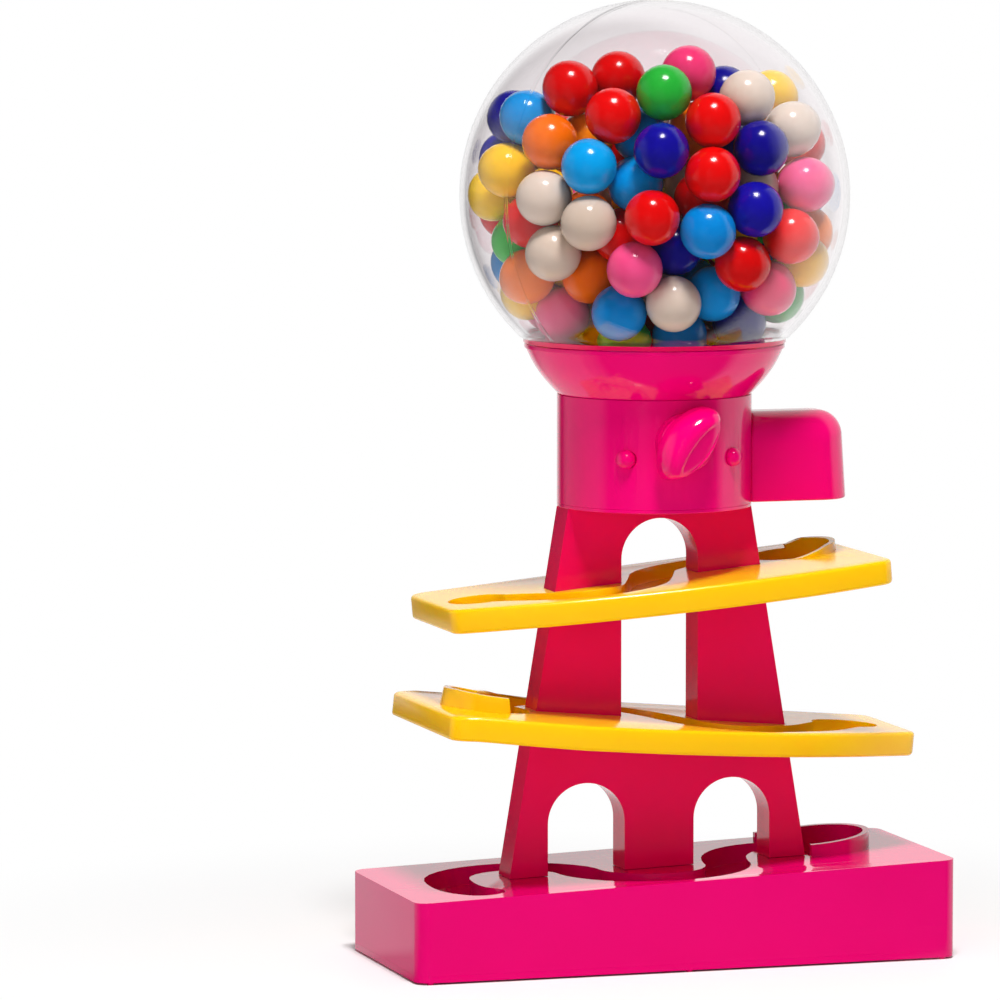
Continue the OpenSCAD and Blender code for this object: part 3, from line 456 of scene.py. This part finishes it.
pin_low, pin_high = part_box("chute_pins")
pin_z = (pin_low[2] + pin_high[2]) / 2
pin_x = pin_high[0] - (pin_high[2] - pin_low[2]) / 2
for side_x in (-pin_x, pin_x):
    # Dome, rim and shank: radius and distance behind the dome's top
    profile = np.array([
        (0, 0), (0.0004, 0.00004), (0.0009, 0.0002), (0.0013, 0.00045), (0.0017, 0.00085),
        (0.002, 0.0013), (0.0022, 0.0017), (0.0023, 0.0021), (0.0023, 0.0026), (0.0012, 0.0026),
        (0.0012, pin_high[1] - pin_low[1] - 0.0001), (0, pin_high[1] - pin_low[1])])
    angle = 2 * np.pi * np.arange(48) / 48
    grid = np.stack([side_x + profile[:, :1] * np.cos(angle),
                     pin_low[1] + profile[:, 1:] + 0 * angle,
                     pin_z + profile[:, :1] * np.sin(angle)], axis=-1)
    pin = solid("button_left" if side_x < 0 else "button_right", grid, magenta)
    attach(pin, body_of_node["chute_pins"])
    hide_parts("chute_pins")

# --- Globe ---
# A clear sphere blown in one piece of stiff plastic, with a flange, a short neck and
# three bayonet lugs that lock in the funnel. Its mould's parting line runs over the top.


def spun(name, outline, turns, material):
    """Surface of revolution: outline holds (radius, height) pairs; point (i, k) lies at
    radius r_i, height z_i and angle 2 pi k / turns. Points at a radius of 0 are merged."""
    radius, height = np.array(outline).T[:, :, None]
    angle = 2 * np.pi * np.arange(turns) / turns
    grid = np.stack([radius * np.cos(angle), radius * np.sin(angle), height + 0 * angle], axis=-1)
    piece = new_piece(name, grid, grid_faces(len(grid), turns, True).tolist(), material)
    piece.data.shade_smooth()
    return piece


def clear_plastic():
    """Clear plastic with a breath of pink; the parting line and soft ripples bend the light."""
    material = bpy.data.materials.new("clear_plastic")
    material.use_nodes = True
    tree = material.node_tree
    node, link = tree.nodes.new, tree.links.new
    shader = tree.nodes["Principled BSDF"]
    shader.inputs["Transmission Weight"].default_value = 1.0
    shader.inputs["Metallic"].default_value = 0.0
    shader.inputs["IOR"].default_value = 1.49
    place = node("ShaderNodeTexCoord").outputs["Object"]
    haze = noise(tree, place, 22.0, 2.0)
    tinted(tree, shader, haze, (0.93, 0.9, 0.9, 1), (0.96, 0.93, 0.95, 1))
    link(ramp(tree, haze, end=(0.0, 0.03)), shader.inputs["Roughness"])
    # The parting line lies in a plane through the globe's axis
    turn = node("ShaderNodeMapping")
    turn.inputs["Rotation"].default_value = (0, 0, np.radians(-23))
    link(place, turn.inputs["Vector"])
    parts = node("ShaderNodeSeparateXYZ")
    link(turn.outputs["Vector"], parts.inputs["Vector"])
    line = ramp(tree, maths(tree, "ABSOLUTE", parts.outputs["Y"]), (0.00035, 0.0), smooth=True)
    bumped(tree, shader, maths(tree, "MULTIPLY_ADD", haze, 0.35, line), 0.14, 0.0002)
    # Light that falls on the balls goes through the thin wall without a bend
    path = node("ShaderNodeLightPath")
    seen = maths(tree, "MAXIMUM", path.outputs["Is Camera Ray"], path.outputs["Is Transmission Ray"])
    # A ray that the inside of the wall throws back is still in the wall: it has come in
    # once more often than it has gone out
    inside = maths(tree, "MODULO", path.outputs["Transmission Depth"], 2)
    kept = maths(tree, "MULTIPLY", inside, path.outputs["Is Glossy Ray"])
    straight = node("ShaderNodeBsdfTransparent")
    straight.inputs["Color"].default_value = (0.97, 0.96, 0.96, 1)
    wall_light = node("ShaderNodeMixShader")
    link(maths(tree, "MAXIMUM", seen, kept), wall_light.inputs["Fac"])
    link(straight.outputs["BSDF"], wall_light.inputs[1])
    link(shader.outputs["BSDF"], wall_light.inputs[2])
    link(wall_light.outputs["Shader"], tree.nodes["Material Output"].inputs["Surface"])
    return material


globe_low, globe_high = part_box("globe")
globe_r = (globe_high[0] - globe_low[0]) / 2
globe_z = globe_high[2] - globe_r
wall, neck_deep = 0.0016, 0.004
lip_z = globe_low[2] + neck_deep
flange = lip_z + 0.0011
neck, neck_in, flange_r = 0.0276, 0.0262, 0.0316


def sphere_arc(radius, low, steps):
    """Points (r, z) of a sphere's outline from its top down to a height."""
    stop = np.arccos((low - globe_z) / radius)
    return [(radius * np.sin(a), globe_z + radius * np.cos(a)) for a in np.linspace(0, stop, steps)]


inner = sphere_arc(globe_r - wall, flange + 0.0004, 56)
outline = sphere_arc(globe_r, flange + 0.0003, 60) + [
    (flange_r + 0.0003, flange), (flange_r, flange - 0.0002), (flange_r, lip_z + 0.0002),
    (flange_r - 0.0002, lip_z), (neck + 0.0002, lip_z), (neck, lip_z - 0.0002),
    (neck, lip_z - 0.0038), (neck - 0.0002, lip_z - neck_deep),
    (neck_in + 0.0002, lip_z - neck_deep), (neck_in, lip_z - 0.0038),
    (neck_in, flange - 0.0003), (neck_in + 0.0003, flange),
    (inner[-1][0] - 0.0004, flange)] + inner[::-1]
clear = clear_plastic()
globe = spun("clear_globe", outline, 144, clear)
# The flange's edge lies on the funnel's lip; the lip seen through the clear edge is painted on it in
# the darker magenta copy: a painted reflection of the lip in shade
globe.data.materials.append(painted_shade_magenta)
for side in globe.data.polygons:
    if side.center.z < flange and np.hypot(side.center.x, side.center.y) > flange_r - 0.0012:
        side.material_index = 1
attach(globe, "globe")
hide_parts("globe")

lug_steps, lug_half_turn = 12, 0.25


def lug(turn):
    """One bayonet lug as rows of four corners: a curved bar that stands out from the neck's
    wall, 14 mm wide and 1.5 mm high."""
    angle = (np.linspace(-lug_half_turn, lug_half_turn, lug_steps) + turn)[:, None]
    radius = neck + np.array((-0.0002, 0.0009, 0.0009, -0.0002))
    height = lip_z - neck_deep + np.array((0.0001, 0.0001, 0.0016, 0.0016))
    return np.stack([radius * np.cos(angle), radius * np.sin(angle), height + 0 * angle], axis=-1)


three_lugs = np.stack([lug(2 * np.pi * i / 3) for i in range(3)])
faces = [[start + k for k in side] for start in range(0, 3 * 4 * lug_steps, 4 * lug_steps)
         for side in solid_faces(lug_steps, 4)]
lugs = new_piece("globe_lugs", three_lugs, faces, clear)
lug_edges = lugs.modifiers.new("rounded_edges", "BEVEL")
lug_edges.width = 0.0002
lug_edges.segments = 2
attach(lugs, "globe")

# --- Funnel ---
# One moulding under the globe: a slightly bulged cone that flares out to a lip, a socket
# with a groove for the globe's lugs, a throat that leads to the wheel, and a ring that
# plugs into the drum's rim.

cone_low, drum_top = 0.0232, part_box("drum")[1][2]
lip_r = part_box("funnel")[1][0]
t = np.linspace(0, 1, 22)
flare = np.stack([cone_low + (lip_r - 0.0004 - cone_low) * (t + 0.115 * np.sin(np.pi * t)),
                  drum_top + 0.00002 + (lip_z - 0.0013 - drum_top) * t], axis=1)
rim = [(lip_r - 0.0001, lip_z - 0.0012), (lip_r, lip_z - 0.001), (lip_r, lip_z - 0.0003),
       (lip_r - 0.0003, lip_z), (0.0281, lip_z), (0.0279, lip_z - 0.0002),
       (0.02785, lip_z - 0.002), (0.0288, lip_z - 0.0021), (0.0288, lip_z - 0.004),
       (0.0262, lip_z - 0.0042), (0.0258, lip_z - 0.0043)]
throat = [(0.0083, lip_z - 0.0083), (0.008, lip_z - 0.0087), (0.0082, lip_z - 0.0096),
          (0.0096, lip_z - 0.01), (0.0196, lip_z - 0.0075), (0.0198, drum_top - 0.0028),
          (0.02, drum_top - 0.003), (0.0215, drum_top - 0.003), (0.0216, drum_top - 0.0028),
          (0.0216, drum_top), (cone_low, drum_top + 0.00002)]
funnel = spun("funnel_cone", np.vstack([flare, rim, throat]), 144, magenta)
funnel.data.set_sharp_from_angle(angle=0.6)
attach(funnel, body_of_node["funnel"])
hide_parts("funnel")

# --- Gumballs ---
# Half-inch balls of chewing gum in a polished sugar shell, poured into the globe: they
# lie as a shaken heap. No two shells have quite the same shade or roundness.

ball_r = 0.0066
# The camera stands this far round from straight ahead, to the left
view_turn = np.radians(-17.097)
# Balls against the front of the globe, as seen: across, up (mm) and the colour's letter
front_balls = (
    (-21, 25, "r"), (-8, 20, "r"), (1.2, 25.4, "g"), (20.8, 25, "w"), (12.6, 18.2, "r"),
    (-33.6, 18.8, "n"), (-25.5, 14.7, "o"), (-15.4, 9.6, "b"), (0, 10.6, "n"), (12, 7, "r"),
    (24.2, 12.5, "n"), (32, 16.3, "w"), (-35, 6.2, "y"), (34.9, 3, "p"), (-26.8, 0.2, "w"),
    (-16, -4.5, "w"), (-1.9, -3.9, "r"), (12, -5.8, "b"), (23.3, -1.4, "n"), (-38.6, -5.1, "y"),
    (31.7, -8.3, "r"), (-23.9, -13.3, "w"), (-6.3, -14.3, "p"), (19.5, -15.2, "r"),
    (-31.8, -17.7, "o"), (-9.1, -26.8, "b"), (4.1, -24, "w"), (25.8, -22.1, "p"),
    (31.1, -26.5, "g"), (-24.2, -28.4, "p"))
# Balls of the next layer that show between them
next_balls = (
    (-10, 28, "r"), (9, 23.4, "p"), (33.6, 21.9, "y"), (39.9, 10, "r"), (-40, 8.7, "n"),
    (42.4, -1.7, "b"), (-29.2, -6.3, "r"), (37.4, -10.2, "o"), (6, -11.4, "n"),
    (-37.4, -19, "b"), (-16.7, -18.3, "o"), (38.6, -17, "r"), (13.5, -20.8, "b"),
    (4.7, -30.8, "b"), (19.8, -29.6, "n"), (1.6, 16.3, "b"), (-5.4, 3.7, "b"), (-9.2, -2, "r"),
    (-32.4, -10.2, "g"), (-18.6, 17.5, "o"), (5.3, 18.8, "o"), (-32.4, -27.1, "p"),
    (-11.6, -34, "o"), (18.4, -34, "o"), (-41, -11.4, "r"), (14.5, 24.6, "n"))


def shaken_heap(count, rounds):
    """Centres and colours of the balls. Each round parts every pair that is too close, along
    the line between them, and puts those outside the globe's or funnel's wall back on it.
    While the heap settles, seen balls are drawn to their places and the others sink."""
    next_depth, heap_top, wall_gap = 0.0105, 0.0252, 0.0001
    sink, draw = 0.00006, 0.25
    settling_share, soft_push, full_push = 0.7, 0.55, 0.8
    touching, start_gap, over_floor = 2.004 * ball_r, 1.55 * ball_r, 1.04 * ball_r
    funnel_slope, throat_r, floor_drop = 0.247, 0.008, 0.0085
    random = np.random.default_rng(7)
    aside = np.array([np.cos(view_turn), np.sin(view_turn), 0])
    ahead = np.array([np.sin(view_turn), -np.cos(view_turn), 0])
    middle = np.array([0, 0, globe_z])
    room = globe_r - wall - ball_r - wall_gap
    home, letters = [], []
    for balls, sunk in ((front_balls, 0.0), (next_balls, next_depth)):
        for across, up, letter in balls:
            flat = np.array([across, up]) / 1000
            flat *= min(1, room / np.hypot(*flat))
            depth = np.sqrt(max(room**2 - flat @ flat, 0)) - sunk
            home.append(middle + aside * flat[0] + ahead * depth + (0, 0, flat[1]))
            letters.append(letter)
    seen = len(home)
    home = np.array(home)
    spots = list(home)
    while len(spots) < count:
        spot = middle + random.uniform(-1, 1, 3) * room
        gap = np.linalg.norm(np.array(spots) - spot, axis=1).min()
        if (np.linalg.norm(spot - middle) < room and spot[2] < globe_z + heap_top
                and gap > start_gap):
            spots.append(spot)
            letters.append("royngwpb"[random.integers(8)])
    p = np.array(spots)
    edge = np.array([neck_in, flange])
    for turn in range(rounds):
        settling = turn < rounds * settling_share
        if settling:
            p[seen:, 2] -= sink
            p[:seen] += (home - p[:seen]) * draw
        apart = p[:, None] - p[None]
        gap = np.linalg.norm(apart, axis=2) + np.eye(len(p))
        push = np.clip(touching - gap, 0, None) * 0.5
        push = (apart / gap[..., None] * push[..., None]).sum(axis=1)
        p = p + push * (soft_push if settling else full_push)
        out = p - middle
        away = np.linalg.norm(out, axis=1)
        p = middle + out * np.minimum(1, room / away)[:, None]
        # Neck's edge, and the funnel under it
        r = np.hypot(p[:, 0], p[:, 1])
        from_edge = np.stack([r, p[:, 2]], axis=1) - edge
        near = np.linalg.norm(from_edge, axis=1)
        hit = (near < ball_r) & (r < neck_in)
        moved = edge + from_edge * (ball_r / near)[:, None]
        scale = np.where(hit, moved[:, 0] / np.maximum(r, 1e-9), 1)
        p[:, :2] *= scale[:, None]
        p[:, 2] = np.where(hit, moved[:, 1], p[:, 2])
        floor_z = lip_z - floor_drop + funnel_slope * np.maximum(r - throat_r, 0) + over_floor
        p[:, 2] = np.maximum(p[:, 2], floor_z)
    return p, np.array(letters)


def ball_surface(seed):
    """Unit ball on a grid of latitudes and longitudes, its radius wandering by under 1 %,
    turned at random. Gives its points, its four-sided faces and the triangles at its poles."""
    random = np.random.default_rng(seed)
    bands, turns = 13, 26
    polar = (np.pi * np.arange(1, bands) / bands)[:, None]
    angle = 2 * np.pi * np.arange(turns) / turns
    rings = np.stack([np.sin(polar) * np.cos(angle), np.sin(polar) * np.sin(angle),
                      np.cos(polar) + 0 * angle], axis=-1).reshape(-1, 3)
    points = np.vstack([rings, [(0, 0, 1), (0, 0, -1)]])
    push = random.normal(0, 1, (3, 3))
    lumps = np.cos(points @ push.T * 2.2).mean(axis=1)
    turned, _ = np.linalg.qr(random.normal(0, 1, (3, 3)))
    points = points * (0.992 + 0.006 * lumps)[:, None] @ turned.T
    sides = grid_faces(bands - 1, turns, True)[:, [0, 3, 2, 1]]
    top, low, last_ring = len(rings), len(rings) + 1, len(rings) - turns
    k = np.arange(turns)
    n = (k + 1) % turns
    caps = np.stack([[top + 0 * k, k, n], [low + 0 * k, last_ring + n, last_ring + k]])
    caps = caps.transpose(2, 0, 1).reshape(-1, 3)
    if np.linalg.det(turned) < 0:
        sides, caps = sides[:, ::-1], caps[:, ::-1]
    return points, sides, caps


def candy(name, deep, pale):
    """Polished sugar shell: its colour goes from deep to pale with the ball's own tint and
    in soft clouds, over a faintly dimpled surface with a wax gloss. Some light goes in."""
    material = bpy.data.materials.new(name)
    material.use_nodes = True
    tree = material.node_tree
    shader = tree.nodes["Principled BSDF"]
    own = tree.nodes.new("ShaderNodeAttribute")
    own.attribute_name = "own_tint"
    place = tree.nodes.new("ShaderNodeTexCoord").outputs["Object"]
    cloud = noise(tree, place, 110.0, 2.0)
    tinted(tree, shader, maths(tree, "MULTIPLY_ADD", cloud, 0.5, own.outputs["Fac"]), deep, pale)
    tree.links.new(ramp(tree, cloud, end=(0.08, 0.22)), shader.inputs["Roughness"])
    bumped(tree, shader, noise(tree, place, 420.0, 3.0), 0.12, 0.0005)
    shader.inputs["IOR"].default_value = 1.5
    shader.inputs["Subsurface Weight"].default_value = 0.15
    shader.inputs["Subsurface Radius"].default_value = (0.0015, 0.001, 0.0008)
    shader.inputs["Subsurface Scale"].default_value = 1.0
    return material


candies = {  # letter: name, deep and pale shade
    "r": ("red", (206, 0, 2), (238, 4, 4)),
    "o": ("orange", (236, 96, 0), (246, 140, 18)),
    "y": ("yellow", (248, 188, 0), (252, 212, 16)),
    "w": ("white", (206, 188, 170), (220, 206, 192)),
    "b": ("light_blue", (0, 128, 210), (0, 168, 236)),
    "n": ("royal_blue", (10, 2, 120), (20, 12, 164)),
    "p": ("pink", (228, 30, 96), (242, 94, 154)),
    "g": ("green", (20, 156, 44), (64, 208, 76))}
centres, letters = shaken_heap(count=130, rounds=420)
for letter, (colour, deep, pale) in candies.items():
    random = np.random.default_rng(ord(letter))
    points, faces, tints = [], [], []
    for centre in centres[letters == letter]:
        shape, sides, caps = ball_surface(random.integers(1 << 30))
        start = len(points) * len(shape)
        points.append(centre + shape * ball_r)
        faces += (sides + start).tolist() + (caps + start).tolist()
        tints += [random.uniform(-0.15, 0.6)] * len(shape)
    mesh = bpy.data.meshes.new("heap_" + colour)
    mesh.from_pydata(np.vstack(points).tolist(), [], faces)
    mesh.attributes.new("own_tint", "FLOAT", "POINT").data.foreach_set("value", tints)
    mesh.materials.append(candy("candy_" + colour, linear(*deep), linear(*pale)))
    mesh.shade_smooth()
    heap = bpy.data.objects.new("heap_" + colour, mesh)
    bpy.context.collection.objects.link(heap)
    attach(heap, "globe")
    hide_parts("gumballs_" + colour)

# --- Pieces seen only in part ---
# The wheel, the insert under it and the screws lie inside or deep in their holes: they
# keep their own meshes and take the plastics and the steel.

steel = plastic("screw_steel", (0.55, 0.56, 0.58, 1), (0.68, 0.68, 0.7, 1), 0.3)
steel.node_tree.nodes["Principled BSDF"].inputs["Metallic"].default_value = 1.0
for node, material in (("ball_wheel", yellow), ("ball_chute", magenta),
                       ("cover_screws", steel), ("foot_screws", steel),
                       ("tower_screws", steel), ("floor_screws", steel)):
    mesh = frame["nodes"][node].data
    mesh.materials.clear()
    mesh.materials.append(material)

# --- Stage and camera ---
# White paper in a white room that is dark in front, so that glossy pieces show their
# shape. A soft key lamp hangs high in front, and a weak one stands at the left.

floor_mesh = bpy.data.meshes.new("table_top")
floor_mesh.from_pydata([(-3, -3, 0), (3, -3, 0), (3, 3, 0), (-3, 3, 0)], [], [(0, 1, 2, 3)])
floor = bpy.data.objects.new("table_top", floor_mesh)
bpy.context.collection.objects.link(floor)


def seen_white(tree, place):
    """What a ray sees of the room instead of the lit surface. Camera rays see plain white,
    and so do those that only passed through the globe. In reflections the room is white
    behind the machine at its right, half as bright at its left, and dark in front. Gives
    the shares seen straight and in reflections, and the level of the reflected room."""
    way = tree.nodes.new("ShaderNodeVectorMath")
    way.operation = "NORMALIZE"
    tree.links.new(place, way.inputs[0])

    def zone(direction, low, high):
        """1 near a direction, falling to 0 away from it; low and high are cosines."""
        near = tree.nodes.new("ShaderNodeVectorMath")
        near.operation = "DOT_PRODUCT"
        near.inputs[1].default_value = direction
        tree.links.new(way.outputs["Vector"], near.inputs[0])
        return ramp(tree, near.outputs["Value"], (low, high), smooth=True)

    path = tree.nodes.new("ShaderNodeLightPath")
    through, depth = path.outputs["Is Transmission Ray"], path.outputs["Glossy Depth"]
    thrown = maths(tree, "MULTIPLY", through, maths(tree, "MINIMUM", depth, 1))
    passed = maths(tree, "SUBTRACT", through, thrown)
    straight = maths(tree, "MAXIMUM", path.outputs["Is Camera Ray"], passed)
    mirrored = maths(tree, "MAXIMUM", path.outputs["Is Glossy Ray"], thrown)
    behind = zone((0.789, 0.614, 0.0), 0.3, 0.62)
    at_left = maths(tree, "MULTIPLY", zone((-0.906, 0.423, 0.0), 0.7, 0.92), 0.45)
    darkest = 0.04
    room = maths(tree, "MAXIMUM", maths(tree, "MAXIMUM", behind, at_left), darkest)
    return straight, mirrored, room


def floor_material():
    """White paper near the machine, with its shadow; further off it turns to plain white
    for what is seen. In reflections it is as the room, and bright close behind."""
    material = bpy.data.materials.new("white_paper")
    material.use_nodes = True
    tree = material.node_tree
    node, link = tree.nodes.new, tree.links.new
    shader = tree.nodes["Principled BSDF"]
    place = node("ShaderNodeTexCoord").outputs["Object"]
    grain = noise(tree, place, 900.0, 2.0)
    link(ramp(tree, grain, end=(0.89, 0.91)), shader.inputs["Base Color"])
    shader.inputs["Roughness"].default_value = 0.6
    shader.inputs["Specular IOR Level"].default_value = 0.1
    straight, mirrored, room = seen_white(tree, place)
    length = node("ShaderNodeVectorMath")
    length.operation = "LENGTH"
    link(place, length.inputs[0])
    away = length.outputs["Value"]
    split = node("ShaderNodeSeparateXYZ")
    link(place, split.inputs["Vector"])
    far = ramp(tree, away, (0.07, 0.22), smooth=True)
    close = maths(tree, "MULTIPLY", ramp(tree, split.outputs["Y"], (-0.01, 0.03), smooth=True),
                  ramp(tree, away, (0.62, 0.28), (0.0, 0.75), smooth=True))
    share = maths(tree, "MAXIMUM", maths(tree, "MULTIPLY", far, straight), mirrored)
    level = maths(tree, "MAXIMUM", straight, maths(tree, "MAXIMUM", close, room))
    white = node("ShaderNodeEmission")
    link(level, white.inputs["Strength"])
    mix = node("ShaderNodeMixShader")
    link(share, mix.inputs["Fac"])
    link(shader.outputs["BSDF"], mix.inputs[1])
    link(white.outputs["Emission"], mix.inputs[2])
    link(mix.outputs["Shader"], tree.nodes["Material Output"].inputs["Surface"])
    return material


floor_mesh.materials.append(floor_material())

world = bpy.data.worlds.new("white_room")
bpy.context.scene.world = world
world.use_nodes = True
tree = world.node_tree
air = tree.nodes["Background"]
air.inputs["Color"].default_value = (1, 1, 1, 1)
direction = tree.nodes.new("ShaderNodeTexCoord").outputs["Generated"]
straight, mirrored, room = seen_white(tree, direction)
room_light = 0.2
level = tree.nodes.new("ShaderNodeMix")
level.inputs["A"].default_value = room_light
tree.links.new(mirrored, level.inputs["Factor"])
tree.links.new(room, level.inputs["B"])
tree.links.new(maths(tree, "MAXIMUM", level.outputs["Result"], straight), air.inputs["Strength"])

lamp_aim = Vector((0, 0, 0.1))


def soft_lamp(name, place, size, power):
    """A round soft lamp at a place, turned to the machine."""
    lamp = bpy.data.lights.new(name, "AREA")
    lamp.shape = "DISK"
    lamp.size = size
    lamp.energy = power
    holder = bpy.data.objects.new(name, lamp)
    bpy.context.collection.objects.link(holder)
    holder.location = place
    holder.rotation_mode = "QUATERNION"
    holder.rotation_quaternion = (lamp_aim - Vector(place)).to_track_quat("-Z", "Y")
    return holder


# The key lamp leaves no spot on the globe, and the side lamp none at all
key = soft_lamp("key_lamp", (-0.075, -0.46, 1.22), size=0.3, power=16.5)
unlit = bpy.data.collections.new("no_key_spot")
key.light_linking.receiver_collection = unlit
for piece in (globe, lugs):
    unlit.objects.link(piece)
for member in unlit.collection_objects:
    member.light_linking.link_state = "EXCLUDE"
side = soft_lamp("side_lamp", (-0.5, -0.75, 0.25), size=0.5, power=1.5)
side.visible_glossy = False
for lamp in (key, side):
    lamp.visible_transmission = False

camera_data = bpy.data.cameras.new("camera")
camera = bpy.data.objects.new("camera", camera_data)
bpy.context.collection.objects.link(camera)
bpy.context.scene.camera = camera
view_rise = np.radians(5.454)
camera_aside, camera_height, camera_distance = -0.037186, 0.11075, 1.607671
back = Vector((np.sin(view_turn) * np.cos(view_rise), -np.cos(view_turn) * np.cos(view_rise),
               np.sin(view_rise)))
aside = Vector((np.cos(view_turn), np.sin(view_turn), 0))
camera.location = aside * camera_aside + Vector((0, 0, camera_height)) + back * camera_distance
camera.rotation_mode = "QUATERNION"
camera.rotation_quaternion = (-back).to_track_quat("-Z", "Y")
camera_data.lens = 239.727
camera_data.sensor_width = 36
camera_data.clip_start, camera_data.clip_end = 0.1, 50
bpy.context.scene.view_settings.view_transform = "Standard"
